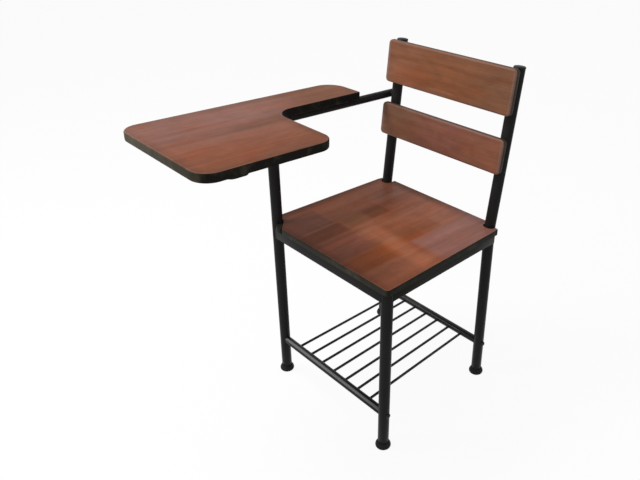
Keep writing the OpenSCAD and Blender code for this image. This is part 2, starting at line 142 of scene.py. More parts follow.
def outline(corners, radii, steps=10):
    """Rounded polygon, counter-clockwise: each corner is an arc tangent to its two sides. Gives its points
    and outward normals."""
    corners = np.asarray(corners, float)
    points, normals = [], []
    for before, corner, after, r in zip(np.roll(corners, 1, 0), corners, np.roll(corners, -1, 0), radii):
        u, w = unit(before - corner), unit(after - corner)
        half = np.arccos(np.clip(u @ w, -1, 1)) / 2
        middle = corner + unit(u + w) * r / sin(half)
        first, last = (corner + side * r / tan(half) - middle for side in (u, w))
        start = atan2(first[1], first[0])
        turn = (atan2(last[1], last[0]) - start + pi) % (2 * pi) - pi
        angle = start + turn * np.linspace(0, 1, steps + 1)
        ray = np.stack([np.cos(angle), np.sin(angle)], -1)
        points.append(middle + r * ray)
        normals.append(ray * np.sign(turn))
    return np.concatenate(points), np.concatenate(normals)


def board(corners, radii, thick, soft, place, steps=10, worn=(1, 0.95, 0.8, 0.6, 0.42, 0.28, 0.15)):
    """Flat board: an edge profile of two quarter rounds of radius soft, with two rings in the flat next to
    each, is carried round the outline, each of its points set in along the outline's normal. Top face at z 0.
    Also gives how far each vertex is part of the edge, with worn as its fall over the upper round."""
    points, normals = outline(corners, radii, steps)
    round_steps, ring_1, ring_2 = 6, soft + 0.3, soft + 1.0
    t = np.linspace(0, pi / 2, round_steps)
    inset = np.concatenate([[ring_2, ring_1], soft * (1 - np.sin(t)), soft * (1 - np.cos(t)),
                            [ring_1, ring_2]])
    height = np.concatenate([[-thick, -thick], soft * (1 - np.cos(t)) - thick,
                             soft * (np.sin(t) - 1), [0, 0]])
    share = np.concatenate([[0, 0.5], np.ones(round_steps), worn, [0]])
    plan = points[None] - inset[:, None, None] * normals[None]
    level = np.broadcast_to(height[:, None, None], plan.shape[:2] + (1,))
    grid = place(np.concatenate([plan, level], -1))
    return closed(grid), np.repeat(share, len(points))


def sweep(path, tangents, side, profile, scale=None):
    """Profile (u, v) carried along a path: u lies along side, squared up to the path, and v completes the
    frame. Each ring may be scaled."""
    tangents = unit(tangents)
    u = unit(side - (tangents @ side)[:, None] * tangents)
    v = np.cross(tangents, u)
    size = np.ones(len(path)) if scale is None else scale
    flat = profile[None] * size[:, None, None]
    return closed(path[:, None] + flat[..., :1] * u[:, None] + flat[..., 1:] * v[:, None])


def circle(r, steps=56):
    """Round profile."""
    angle = np.linspace(0, 2 * pi, steps, endpoint=False)
    return r * np.stack([np.cos(angle), np.sin(angle)], -1)


def square(size, corner=3.0):
    """Square profile with rounded corners, and its outward normals."""
    h = size / 2
    return outline([[-h, -h], [h, -h], [h, h], [-h, h]], [corner] * 4, 6)


def eased(path, tangents, r, lip=0.7):
    """Path and ring sizes with both ends of a bar of radius r eased by a small lip."""
    first, last = path[0], path[-1]
    t0, t1 = unit(tangents[0]), unit(tangents[-1])
    head = [first, first, first + 0.3 * lip * t0, first + lip * t0]
    tail = [last - lip * t1, last - 0.3 * lip * t1, last, last]
    ends = np.array([1 - (lip + 0.6) / r, 1 - lip / r, 1 - 0.3 * lip / r, 1])
    scale = np.concatenate([ends, np.ones(len(path) - 2), ends[::-1]])
    frames = np.concatenate([np.repeat(t0[None], 4, 0), tangents[1:-1], np.repeat(t1[None], 4, 0)])
    return np.concatenate([head, path[1:-1], tail]), frames, scale


def bar(start, end, profile, r, side=Z):
    """Straight bar of a profile from start to end."""
    path = np.linspace(start, end, 5)
    tangents = np.repeat(unit(np.subtract(end, start))[None], 5, 0)
    path, tangents, scale = eased(path, tangents, r)
    return sweep(path, tangents, side, profile, scale)


def bent_bar(start, bend, end, radius, profile, r):
    """Bar with one bend: two straights joined by an arc of the given radius, tangent to both."""
    t0, t1 = unit(bend - start), unit(end - bend)
    angle = np.arccos(t0 @ t1)
    normal = unit(t1 - t0)
    middle = bend + normal * radius / cos(angle / 2)
    sweep_angle = np.linspace(-angle / 2, angle / 2, 15)[:, None]
    along = unit(t0 + t1)
    arc = middle + radius * (np.sin(sweep_angle) * along - np.cos(sweep_angle) * normal)
    turned = np.cos(sweep_angle) * along + np.sin(sweep_angle) * normal
    path = np.concatenate([[start], arc, [end]])
    tangents = np.concatenate([[t0], turned, [t1]])
    path, tangents, scale = eased(path, tangents, r)
    return sweep(path, tangents, np.cross(t0, t1), profile, scale)


def lathe(profile, place, steps=56):
    """Profile of (radius, height) points, from the bottom up, turned about the local z axis."""
    profile = np.asarray(profile, float)
    ring = circle(1.0, steps)
    flat = profile[:, None, :1] * ring[None]
    level = np.broadcast_to(profile[:, None, 1:], flat.shape[:2] + (1,))
    return closed(place(np.concatenate([flat, level], -1)))


def smooth(low, high, x):
    """Smooth step from 0 at low to 1 at high."""
    t = np.clip((x - low) / (high - low), 0, 1)
    return t * t * (3 - 2 * t)


def screw_head(place, r=4.2, dome=2.3, arm=2.2, width=0.55, depth=1.3):
    """Pan head on a polar grid: a dome of height dome with a cross-shaped recess, standing on local z 0."""
    ring = np.concatenate([[1.0, 1.0, 0.97, 0.9], np.linspace(0.8, 0.02, 18)])
    angle = np.linspace(0, 2 * pi, 64, endpoint=False)
    px, py = r * ring[:, None] * np.cos(angle), r * ring[:, None] * np.sin(angle)
    crown = dome * np.sqrt(np.clip(1 - (0.92 * ring) ** 2, 0, 1))[:, None]
    ax, ay = np.abs(px), np.abs(py)
    slot_x = (1 - smooth(width, width + 0.3, ay)) * (1 - smooth(arm, arm + 0.4, ax))
    slot_y = (1 - smooth(width, width + 0.3, ax)) * (1 - smooth(arm, arm + 0.4, ay))
    level = crown - depth * np.maximum(slot_x, slot_y)
    level[0] = -0.6
    return closed(place(np.stack([px, py, level], -1)))


def bead(path, outward, r, pitch=WELD_PITCH, loop=True):
    """Weld bead: a flattened round carried along a path on the metal, its size rippling every pitch as the
    pool of metal cooled, with a slow sway of its own. An open bead fades out at both ends."""
    if loop:
        tangents = unit(np.roll(path, -1, 0) - np.roll(path, 1, 0))
        step = np.linalg.norm(np.roll(path, -1, 0) - path, axis=1)
    else:
        tangents = unit(np.gradient(path, axis=0))
        step = np.linalg.norm(np.diff(path, axis=0, append=path[-1:]), axis=1)
    run = np.cumsum(step) - step
    if loop:
        pitch = run[-1] / max(round(run[-1] / pitch), 1)
    ripple = 0.16 * np.abs(np.sin(pi * run / pitch))
    sway = 0.07 * np.sin(run * 0.61 + path[0, 0])
    size = r * (0.9 + ripple + sway)
    if not loop:
        size *= np.sqrt(np.clip(np.sin(np.linspace(0, pi, len(path))), 0.02, 1))
    up = unit(outward - np.sum(outward * tangents, 1, keepdims=True) * tangents)
    over = np.cross(tangents, up)
    sides, flatness = 10, 0.72
    ring = circle(1.0, sides)
    grid = path[:, None] + size[:, None, None] * (flatness * ring[None, :, :1] * up[:, None]
                                                  + ring[None, :, 1:] * over[:, None])
    if loop:
        return grid.reshape(-1, 3), quads(len(path), sides, True)
    return closed(grid)


# Places

def post_place(side):
    """Frame at the bend of a rear post, z up along the post."""
    return axes([side * REAR_X, BEND_Y, BEND_Z], POST_UP, X)


def tablet_place(x=0.0, z=0.0):
    """Frame of the tablet's top face, moved sideways by x and up from that face by z."""
    up = np.array([0, sin(TABLET_SLOPE), cos(TABLET_SLOPE)])
    return axes(np.array([0, 0, TABLET_Z]) + x * X + z * up, up, X)


def low_point(side, z):
    """Axis of a rear leg below its bend, at a height."""
    share = 1 - np.asarray(z, float) / BEND_Z
    return np.stack([side * REAR_X - (SPLAY if side < 0 else 0) * share, BEND_Y + RAKE * share,
                     np.broadcast_to(z, np.shape(share))], -1)


def level_place(x, y, z):
    """Upright frame at a point."""
    return axes([x, y, z], Z, X)


# Shader maths

class Wire:
    """A shader socket that joins in arithmetic: each operator adds one Math node to its tree."""

    def __init__(self, tree, socket):
        self.tree, self.socket = tree, socket

    def math(self, operation, *others):
        return self.tree.add("Math", {"operation": operation}, dict(enumerate((self,) + others)))

    def __add__(self, other):
        return self.math("ADD", other)

    def __sub__(self, other):
        return self.math("SUBTRACT", other)

    def __mul__(self, other):
        return self.math("MULTIPLY", other)

    def __truediv__(self, other):
        return self.math("DIVIDE", other)

    def __rsub__(self, other):
        return self.math("MULTIPLY", -1.0).math("ADD", other)

    __radd__, __rmul__ = __add__, __mul__


class Finish:
    """A material being wired: add makes any node, the rest are short ways to the common ones."""

    def __init__(self, name, owner=None):
        self.material = owner or bpy.data.materials.new(name)
        self.material.use_nodes = True
        self.tree = self.material.node_tree
        self.tree.nodes.clear()

    def add(self, kind, settings=None, sockets=None, out=0):
        """One shader node of a kind: its settings first, then the values or links of its sockets."""
        node = self.tree.nodes.new("ShaderNode" + kind)
        for key, value in (settings or {}).items():
            setattr(node, key, value)
        for key, value in (sockets or {}).items():
            if isinstance(value, Wire):
                self.tree.links.new(value.socket, node.inputs[key])
            else:
                node.inputs[key].default_value = value
        return Wire(self, node.outputs[out]) if node.outputs else None

    def place(self):
        """The chair's own x, y, z in metres, before the drawing's shift."""
        spot = self.add("TexCoord", out="Object")
        spot = self.add("Mapping", None, {"Vector": spot, "Location": tuple(-SHIFT / 1000)})
        return [self.add("SeparateXYZ", None, {"Vector": spot}, out=i) for i in range(3)]

    def vector(self, x, y, z):
        return self.add("CombineXYZ", None, {0: x, 1: y, 2: z})

    def noise(self, vector, scale=1.0, detail=3.0, rough=0.5, warp=0.0):
        return self.add("TexNoise", None, {"Vector": vector, "Scale": scale, "Detail": detail,
                                           "Roughness": rough, "Distortion": warp})

    def chance(self, vector):
        """A number from 0 to 1 that only the vector decides."""
        return self.add("TexWhiteNoise", None, {"Vector": vector}, out="Value")

    def step(self, value, low, high, bottom=0.0, top=1.0):
        """Smooth step of a value."""
        return self.add("MapRange", {"interpolation_type": "SMOOTHSTEP"},
                        {"Value": value, "From Min": low, "From Max": high, "To Min": bottom, "To Max": top})

    def hump(self, value, low, high, soft):
        """1 between low and high, falling to 0 over soft on both sides."""
        return self.step(value, low - soft, low + soft) * self.step(value, high - soft, high + soft, 1.0, 0.0)

    def mix(self, share, first, second, kind="MIX"):
        """Two colours mixed, each a socket or linear red, green and blue."""
        first, second = ((*c, 1.0) if isinstance(c, tuple) else c for c in (first, second))
        return self.add("Mix", {"data_type": "RGBA", "blend_type": kind},
                        {0: share, 6: first, 7: second}, out=2)

    def bump(self, height, strength, distance):
        return self.add("Bump", None,
                        {"Strength": strength, "Distance": distance, "Height": height}, out="Normal")

    def surface(self, **sockets):
        """The finished material: a Principled shader whose sockets are named with _ for each space."""
        names = {key.replace("_", " "): value for key, value in sockets.items()}
        shader = self.add("BsdfPrincipled", None, names)
        self.add("OutputMaterial", None, {"Surface": shader})
        return self.material


# Finishes

def black_paint(name, tone, tint, dust, gloss, shine, skin_depth=0.07, rubbed=None):
    """Satin black paint on steel: orange-peel skin, slow changes of gloss, grey dust on what faces up, fine
    rubbed marks. tone and tint make its colour, dust says how much lies on it, gloss is its least roughness
    and shine its specular level. rubbed gives from (x, y, z) how much of a paler grey band is painted in as
    a highlight."""
    mark_grey, sheen_grey = (0.026, 0.025, 0.024), (0.150, 0.146, 0.147)
    dust_grey = (0.06, 0.056, 0.048)
    f = Finish(name)
    x, y, z = f.place()
    spot = f.vector(x, y, z)
    slow = f.noise(spot, 9.0, 4.0, 0.6)
    fine = f.noise(spot, 160.0, 4.0, 0.65)
    rub = f.step(f.noise(f.vector(x * 34.0, y * 34.0, z * 9.0), 1.0, 5.0, 0.7), 0.6, 0.74)
    facing = f.add("NewGeometry", out="Normal")
    up = f.add("SeparateXYZ", None, {"Vector": facing}, out="Z")
    film = f.step(up, 0.35, 1.0) * f.step(slow + fine * 0.6, 0.55, 1.05) * dust
    r, g, b = (tone * share for share in tint)
    coat = f.mix(slow, (r * 0.8, g * 0.8, b * 0.8), (r * 1.28, g * 1.27, b * 1.24))
    worn = f.mix(rub * 0.3, coat, mark_grey)
    # Painted highlight: a paler grey band where rubbed gives it
    if rubbed:
        worn = f.mix(rubbed(f, x, y, z) * (0.8 + slow * 0.4), worn, sheen_grey)
    colour = f.mix(film, worn, dust_grey)
    skin = f.noise(spot, 520.0, 2.0, 0.5)
    return f.surface(Base_Color=colour, Specular_IOR_Level=shine,
                     Roughness=gloss + slow * 0.10 + fine * 0.08 + film * 0.2 + rub * 0.05,
                     Normal=f.bump(skin + fine * 0.4, skin_depth, 0.0004))


def painted_sheen_band(f, x, y, z):
    """Painted highlight: a paler band along the front rack rail, on the quarter of it that faces up and
    forwards.
    """
    forwards, upwards = 0.64, 0.768
    facing = (y * -forwards + (z - RACK_Z / 1000) * upwards) / (SMALL_R / 1000)
    return f.step(facing, 0.89, 0.99)


def weld_metal():
    """Paint over a weld: the same black, a little rougher, with small burnt spots."""
    f = Finish("painted_weld")
    spot = f.vector(*f.place())
    grit = f.noise(spot, 420.0, 4.0, 0.6)
    colour = f.mix(f.step(grit, 0.45, 0.75), (0.008, 0.0078, 0.0074), (0.02, 0.0185, 0.016))
    return f.surface(Base_Color=colour, Roughness=0.38 + grit * 0.25, Specular_IOR_Level=0.18,
                     Normal=f.bump(grit, 0.25, 0.0004))


def foot_rubber():
    """Black rubber: matte, finely pitted, grey floor dust rising from its base."""
    f = Finish("foot_rubber")
    x, y, z = f.place()
    spot = f.vector(x, y, z)
    pits = f.noise(spot, 700.0, 3.0, 0.6)
    cloud = f.noise(spot, 60.0, 4.0, 0.6)
    dust = f.step(z + cloud * 0.006, 0.0005, 0.0095, 0.55, 0.0)
    colour = f.mix(cloud, (0.006, 0.006, 0.006), (0.013, 0.0125, 0.012))
    colour = f.mix(dust, colour, (0.055, 0.051, 0.046))
    return f.surface(Base_Color=colour, Roughness=0.55 + cloud * 0.2, Specular_IOR_Level=0.16,
                     Normal=f.bump(pits, 0.2, 0.0003))


def black_plastic():
    """Moulded black plastic: fine spark texture and faint scuffs."""
    f = Finish("black_plastic")
    x, y, z = f.place()
    spot = f.vector(x, y, z)
    grain = f.noise(spot, 1100.0, 2.0, 0.5)
    cloud = f.noise(spot, 80.0, 4.0, 0.6)
    scuff = f.step(f.noise(f.vector(x * 300.0, y * 60.0, z * 300.0), 1.0, 4.0, 0.6), 0.6, 0.72)
    colour = f.mix(scuff * 0.4, (0.008, 0.008, 0.0078), (0.03, 0.029, 0.027))
    return f.surface(Base_Color=colour, Roughness=0.40 + cloud * 0.2, Specular_IOR_Level=0.2,
                     Normal=f.bump(grain, 0.15, 0.0003))


def screw_steel():
    """Black coated screw steel, rubbed a little brighter on its high spots."""
    f = Finish("screw_steel")
    spot = f.vector(*f.place())
    cloud = f.noise(spot, 220.0, 4.0, 0.6)
    rub = f.step(cloud, 0.5, 0.72)
    colour = f.mix(rub, (0.011, 0.011, 0.0115), (0.05, 0.048, 0.046))
    return f.surface(Base_Color=colour, Metallic=0.25 + rub * 0.4, Roughness=0.34 + cloud * 0.2,
                     Specular_IOR_Level=0.25, Normal=f.bump(cloud, 0.1, 0.0002))


def stained_wood(name, grain, tones, gloss, lacquer, edge_tone, rubbed, pale, lapped=None):
    """Red-brown stained and lacquered wood with dark edges. grain gives (along, across, depth) in metres from
    the chair's x, y, z. From (finish, along, across), tones gives the broad colour of the board, rubbed how
    far its edge is rubbed, and lapped how far its edge paint laps over the top. Over that lie blotches where
    the stain took more or less, growth bands that wander along the board, fibres, short dark pores, and a
    pale line along the arris, partly worn lacquer and partly a painted highlight, as strong as pale. gloss is
    its least roughness, lacquer its specular level and edge_tone the colour of its edge paint."""
    warm, cool = (1.10, 0.86, 0.66), (0.97, 1.10, 1.28)
    worn_arris_highlight_tone, bare_edge = (0.30, 0.19, 0.135), (0.105, 0.089, 0.061)
    f = Finish(name)
    along, across, depth = grain(*f.place())
    flow = f.noise(f.vector(across * 16.0, along * 3.0, depth * 16.0), 1.0, 2.0, 0.5)
    wander = across + flow * 0.014
    bands = f.noise(f.vector(wander * 64.0, along * 2.4, depth * 64.0), 1.0, 3.0, 0.55)
    bands = f.step(bands, 0.3, 0.7)
    fibre = f.noise(f.vector(wander * 430.0, along * 13.0, depth * 430.0), 1.0, 4.0, 0.65)
    pores = f.noise(f.vector(across * 1500.0, along * 52.0, depth * 1500.0), 1.0, 2.0, 0.5)
    pores = f.step(pores, 0.60, 0.72)
    blotch = f.noise(f.vector(across * 30.0, along * 13.0, depth * 30.0), 1.0, 4.0, 0.6, 0.7)
    hue = f.noise(f.vector(across * 21.0, along * 9.0, depth * 21.0 + 4.0), 1.0, 3.0, 0.55, 0.5)
    cloud = f.noise(f.vector(along, across, depth), 26.0, 5.0, 0.6)
    colour = tones(f, along, across)
    colour = f.mix(f.step(hue, 0.50, 0.68) * 0.6, colour, f.mix(1.0, colour, warm, "MULTIPLY"))
    cooler = f.step(hue, 0.32, 0.48, 1.0, 0.0)
    colour = f.mix(cooler * 0.6, colour, f.mix(1.0, colour, cool, "MULTIPLY"))
    shade = 1.03 + (blotch - 0.5) * 0.60 - (bands - 0.5) * 0.20 + (fibre - 0.5) * 0.42 - pores * 0.3
    colour = f.mix(1.0, colour, shade, "MULTIPLY")
    edge = f.add("Attribute", {"attribute_name": "edge"}, out="Fac")
    # Pale line along the arris: partly worn lacquer, partly a painted highlight
    arris = f.hump(edge, 0.2, 0.46, 0.1) * f.step(cloud, 0.3, 0.6)
    colour = f.mix(arris * pale, colour, worn_arris_highlight_tone)
    lap = lapped(f, along, across) if lapped else 0.0
    painted = f.step(edge + (cloud - 0.5) * 0.2 + lap, 0.5, 0.68)
    rub = f.step(cloud, 0.52, 0.75) * 0.35
    rub = rub + rubbed(f, along, across) * f.step(cloud, 0.25, 0.65, 0.55, 1.0)
    colour = f.mix(painted, colour, f.mix(rub, edge_tone, bare_edge))
    return f.surface(Base_Color=colour, Specular_IOR_Level=lacquer,
                     Roughness=gloss + bands * 0.06 + pores * 0.1 + cloud * 0.12 + painted * 0.12,
                     Normal=f.bump(fibre * 0.5 + bands * 0.3 - pores * 0.8, 0.10, 0.0005))


def inside(a, b, box):
    """How far a point (a, b) lies inside a rectangle (a0, a1, b0, b1), in metres, below 0 outside it."""
    a0, a1, b0, b1 = box
    return (a - a0).math("MINIMUM", a1 - a).math("MINIMUM", (b - b0).math("MINIMUM", b1 - b))


# Staves of the seat that stand out: x from and to, y from and to, share, colour. The last, at the front
# of the sitter's right side, is partly painted shadow of the tablet
SEAT_STAVES = [(-0.084, -0.040, 0.172, 0.232, 0.85, (0.165, 0.045, 0.011)),
               (-0.084, -0.040, 0.112, 0.170, 0.75, (0.200, 0.070, 0.021)),
               (-0.080, -0.034, -0.030, 0.098, 0.75, (0.135, 0.037, 0.012)),
               (0.048, 0.092, 0.160, 0.268, 0.8, (0.200, 0.056, 0.018)),
               (0.060, 0.116, -0.030, 0.116, 0.8, (0.245, 0.063, 0.017)),
               (0.094, 0.190, 0.160, 0.345, 0.7, (0.245, 0.112, 0.094)),
               (0.120, 0.190, -0.030, 0.090, 0.5, (0.300, 0.105, 0.055)),
               (-0.034, 0.056, -0.030, 0.094, 0.5, (0.190, 0.057, 0.036)),
               (-0.172, -0.088, -0.030, 0.090, 0.6, (0.125, 0.042, 0.030))]


def seat_tones(f, along, across):
    """Edge-glued staves running front to rear, 44 mm wide and cut at random lengths, each a little different
    and some much darker, the darkest at the front of the sitter's right side partly painted shadow of the
    tablet. Over them a pale band across the middle, a greyer rear that is painted reflection, a duller outer
    side that is painted shade under the arm, and a dark red lipping round the rim. near, front, rear and far
    are distances in from the four edges."""
    first_edge, stave_w, stave_len = -0.172, 0.044, 0.15
    near_x, near_lean, far_x, far_lean = 0.1977, 0.0186, 0.2035, 0.0346
    row = ((across - first_edge) / stave_w).math("FLOOR")
    cut = (along / stave_len + f.chance(f.vector(row, 3.0, 1.0)) * 5.0).math("FLOOR")
    stave = f.chance(f.vector(row, cut, 7.0))
    hue = f.chance(f.vector(row, cut, 19.0))
    colour = f.mix(stave, (0.216, 0.062, 0.023), (0.288, 0.091, 0.040))
    colour = f.mix(hue * 0.5, colour, (0.250, 0.096, 0.062))
    for x0, x1, y0, y1, share, tone in SEAT_STAVES:
        within = f.hump(across, x0, x1, 0.005) * f.hump(along, y0, y1, 0.008)
        colour = f.mix(within * share, colour, tone)
    # Painted reflection: the rear of the seat greyer and paler
    painted_rear_reflection = f.step(along, 0.19, 0.34)
    colour = f.mix(painted_rear_reflection * 0.4, colour, (0.222, 0.096, 0.070))
    band = f.hump(along + (across - 0.05) * 0.1, 0.108, 0.150, 0.014) * f.step(across, -0.06, 0.03)
    colour = f.mix(band * 0.5, colour, (0.40, 0.150, 0.076))
    # Painted shade: the sitter's right side, under the arm, darker
    dull = f.step(across, -0.185, -0.125, 0.55, 0.0)
    colour = f.mix(dull, colour, (0.124, 0.036, 0.013))
    near = across * -1.0 - along * near_lean + near_x
    lipping = f.mix(f.step(along, 0.12, 0.3), (0.160, 0.048, 0.028), (0.290, 0.138, 0.120))
    colour = f.mix(f.step(near, 0.006, 0.024, 0.42, 0.0), colour, lipping)
    front = along - SEAT_FRONT / 1000
    lipping = f.mix(f.step(across, -0.06, 0.14), (0.108, 0.032, 0.015), (0.16, 0.05, 0.024))
    colour = f.mix(f.step(front, 0.006, 0.026, 0.65, 0.0), colour, lipping)
    rear = SEAT_REAR / 1000 - along
    lipping = f.mix(f.step(across, -0.04, 0.15), (0.090, 0.029, 0.012), (0.172, 0.084, 0.076))
    colour = f.mix(f.step(rear, 0.006, 0.036, 0.9, 0.0), colour, lipping)
    far = across - along * far_lean + far_x
    lipped = f.step(far, 0.004, 0.036, 1.0, 0.0) * f.step(along, 0.07, 0.34, 1.0, 0.5)
    return f.mix(lipped, colour, (0.064, 0.018, 0.008))


def seat_rubbed(f, along, across):
    """The seat's edge is rubbed along its front."""
    return f.step(along, -0.012, -0.0155) * 0.22


# The tablet's wide part and its arm as rectangles in metres: x from and to, y from and to
TABLET_WIDE, TABLET_ARM = (-0.2745, 0.0365, -0.2965, -0.0025), (-0.2745, -0.1705, -0.2965, 0.252)


def tablet_tones(f, along, across):
    """Broad boards running front to rear, greyer pink towards the outer side as a painted reflection and
    warmer orange towards the sitter, an olive band in line with the arm, a few long streaks and fine
    scratches, and a duller rim."""
    drift = f.noise(f.vector(across * 9.0, along * 4.0, 0.0), 1.0, 3.0, 0.5)
    # Painted reflection: greyer pink towards the outer side, warmer orange towards the sitter
    warm = f.step(across + (drift - 0.5) * 0.14, -0.23, 0.02)
    colour = f.mix(warm, (0.172, 0.070, 0.050), (0.176, 0.049, 0.017))
    colour = f.mix(f.step(along, 0.02, 0.13) * 0.85, colour, (0.134, 0.040, 0.010))
    olive = f.hump(across + (drift - 0.5) * 0.05, -0.152, -0.108, 0.014) * f.step(along, -0.15, -0.08)
    colour = f.mix(olive * f.step(along, -0.01, 0.03, 0.6, 0.0), colour, (0.112, 0.041, 0.018))
    colour = f.mix(f.step(drift, 0.5, 0.72) * 0.4, colour, (0.140, 0.046, 0.024))
    streak = f.noise(f.vector(across * 105.0 + drift * 1.2, along * 2.6, 3.0), 1.0, 2.0, 0.5)
    near = f.step(across, -0.07, 0.0)
    colour = f.mix(f.step(streak, 0.58, 0.66) * near * 0.45, colour, (0.118, 0.032, 0.012))
    lines = f.noise(f.vector(across * 130.0 + along * 40.0, along * 7.0, 0.0), 1.0, 1.0, 0.4)
    gap = (lines - 0.5).math("ABSOLUTE")
    colour = f.mix(f.step(gap, 0.0, 0.012, 1.0, 0.0) * near * 0.25, colour, (0.29, 0.14, 0.09))
    deep = inside(across, along, TABLET_WIDE).math("MAXIMUM", inside(across, along, TABLET_ARM))
    rim = f.step(deep, 0.004, 0.026, 0.45, 0.0) * f.step(across, -0.2, 0.0, 0.7, 1.3)
    return f.mix(rim, colour, (0.092, 0.034, 0.016))


def tablet_rubbed(f, along, across):
    """The tablet's edge is rubbed along its front, most at the outer corner."""
    return f.step(along, -0.286, -0.294) * f.step(across, -0.2, 0.02, 0.75, 0.3)


def slat_ends(f, along, across, height, colour):
    """Paler grey wood near a slat's ends, a painted highlight on their rounded edges, duller along its two
    long edges.
    """
    deep = inside(along, across, (-0.1815, 0.1815, 0.0, height))
    colour = f.mix(f.step(deep, 0.004, 0.016, 0.35, 0.0), colour, (0.125, 0.056, 0.038))
    # Painted highlight on the rounded ends of the slat
    ends = f.step(along.math("ABSOLUTE"), 0.1725, 0.1785)
    return f.mix(ends * 0.6, colour, (0.215, 0.130, 0.105))


def upper_slat_tones(f, along, across):
    """Grain along the slat with one wavy dark line, pinkish at the sitter's right and duller at the left, and
    a flame of pointed dark streaks low in the middle."""
    colour = f.mix(f.step(along, -0.15, -0.02), (0.210, 0.080, 0.040), (0.192, 0.069, 0.028))
    colour = f.mix(f.step(along, 0.02, 0.16), colour, (0.175, 0.073, 0.036))
    wave = f.noise(f.vector(along * 9.0, across * 5.0, 2.0), 1.0, 3.0, 0.5)
    bend = across + (wave - 0.5) * 0.045
    line = f.hump(bend, 0.060, 0.070, 0.006) * (1.0 - f.hump(along, -0.075, 0.0, 0.03) * 0.8)
    colour = f.mix(line * 0.6, colour, (0.128, 0.041, 0.016))
    second = f.hump(bend, 0.078, 0.087, 0.006) * f.hump(along, -0.17, -0.05, 0.03)
    colour = f.mix(second * 0.4, colour, (0.142, 0.055, 0.028))
    flame = f.hump(bend, 0.020, 0.034, 0.008) * f.hump(along, -0.09, 0.10, 0.05)
    colour = f.mix(flame * 0.55, colour, (0.148, 0.045, 0.017))
    light = f.hump(bend, 0.008, 0.013, 0.003) * f.hump(along, -0.045, 0.035, 0.015)
    colour = f.mix(light * 0.5, colour, (0.27, 0.115, 0.06))
    return slat_ends(f, along, across, UPPER_H / 1000, colour)


def lower_slat_tones(f, along, across):
    """Olive brown at the sitter's right, purple brown in the middle and orange red at the left, with three
    knotty patches and a forked streak."""
    colour = f.mix(f.step(along, -0.12, -0.02), (0.172, 0.075, 0.041), (0.186, 0.068, 0.043))
    colour = f.mix(f.step(along, 0.03, 0.12), colour, (0.212, 0.076, 0.041))
    wave = f.noise(f.vector(along * 16.0, across * 22.0, 5.0), 1.0, 3.0, 0.5)
    high = across + (wave - 0.5) * 0.02
    patch = f.hump(along, 0.0, 0.016, 0.012) * f.hump(high, 0.032, 0.05, 0.01)
    patch = patch + f.hump(along, 0.045, 0.078, 0.018) * f.hump(high, 0.022, 0.034, 0.008)
    patch = patch + f.hump(along, 0.098, 0.108, 0.012) * f.hump(high, 0.020, 0.038, 0.008) * 0.8
    colour = f.mix(patch * 0.6, colour, (0.112, 0.036, 0.018))
    fork = f.hump(along - across * 0.9, -0.03, 0.02, 0.03) * f.step(across, 0.03, 0.065)
    colour = f.mix(fork * 0.35, colour, (0.165, 0.048, 0.032))
    return slat_ends(f, along, across, LOWER_H / 1000, colour)


def tablet_lapped(f, along, across):
    """Edge paint lapping over the tablet's outer edge and front corner, less along the arm, and over the
    arm's end. The distance inward from the outer edge follows the rounded corner."""
    corner = TABLET_RADII[0]
    edge_line = (TABLET_OUT + ARM_END * OUTER_LEAN - corner) / 1000
    side = (across - along * OUTER_LEAN + edge_line).math("MINIMUM", 0.0)
    front = (along + (TABLET_FRONT - corner) / 1000).math("MINIMUM", 0.0)
    inward = corner / 1000 - (side * side + front * front).math("SQRT")
    outer = f.step(inward, 0.0030, 0.0052, 1.0, 0.0) * f.step(along, -0.294, -0.262)
    arm_end = f.step(along, ARM_END / 1000 - 0.0045, ARM_END / 1000 - 0.0030)
    return (outer * f.step(along, -0.05, 0.10, 0.7, 0.45)).math("MAXIMUM", arm_end * 0.7)


def slat_rubbed(f, along, across):
    """A slat's edge is rubbed a little all round."""
    return 0.12


def seat_grain(x, y, z):
    """Front to rear, sideways, and up."""
    return y, x, z


def tablet_grain(x, y, z):
    """Front to rear, sideways, and up from the sloping face."""
    return y, x, z + y * tan(TABLET_SLOPE)


def slat_grain(at):
    """Along the slat, up it from its lower edge, and through it."""
    def grain(x, y, z):
        rise = (z - BEND_Z / 1000) * cos(POST_LEAN) + (y - BEND_Y / 1000) * sin(POST_LEAN)
        through = (y - BEND_Y / 1000) * cos(POST_LEAN) - (z - BEND_Z / 1000) * sin(POST_LEAN)
        return x, rise - at / 1000, through
    return grain


paint = black_paint("satin_black_paint", 0.0178, (1.0, 0.95, 0.96), 0.3, 0.2, 0.04)
# Painted shade: the side and rear seat rails and the corner filler take a darker copy of the black paint
shaded_seat_rail_paint = black_paint("satin_black_paint_seat_rails_shaded", 0.0138, (0.97, 1.03, 0.76), 0.3, 0.2, 0.035)
rack_paint = black_paint("satin_black_paint_rack", 0.0105, (1.0, 0.98, 0.96), 0.2, 0.18, 0.2)
# The front rack rail carries a painted highlight band along its upper front
rack_rail_paint = black_paint("satin_black_paint_rack_rail", 0.0070, (1.0, 0.98, 0.98), 0.03, 0.22, 0.12,
                              0.03, painted_sheen_band)
weld_paint = weld_metal()
rubber = foot_rubber()
plastic = black_plastic()
steel = screw_steel()
EDGE_BLACK, EDGE_OLIVE = (0.0095, 0.009, 0.0078), (0.0094, 0.0097, 0.0066)
EDGE_BROWN = (0.030, 0.019, 0.014)
seat_wood = stained_wood("seat_wood", seat_grain, seat_tones, 0.30, 0.065, EDGE_OLIVE, seat_rubbed, 0.45)
tablet_wood = stained_wood("tablet_wood", tablet_grain, tablet_tones, 0.30, 0.045, EDGE_BLACK, tablet_rubbed,
                           0.4, tablet_lapped)
upper_wood = stained_wood("upper_slat_wood", slat_grain(UPPER_AT), upper_slat_tones, 0.34, 0.14, EDGE_BROWN,
                          slat_rubbed, 0.1)
lower_wood = stained_wood("lower_slat_wood", slat_grain(LOWER_AT), lower_slat_tones, 0.34, 0.14, EDGE_BROWN,
                          slat_rubbed, 0.1)


# Wooden boards

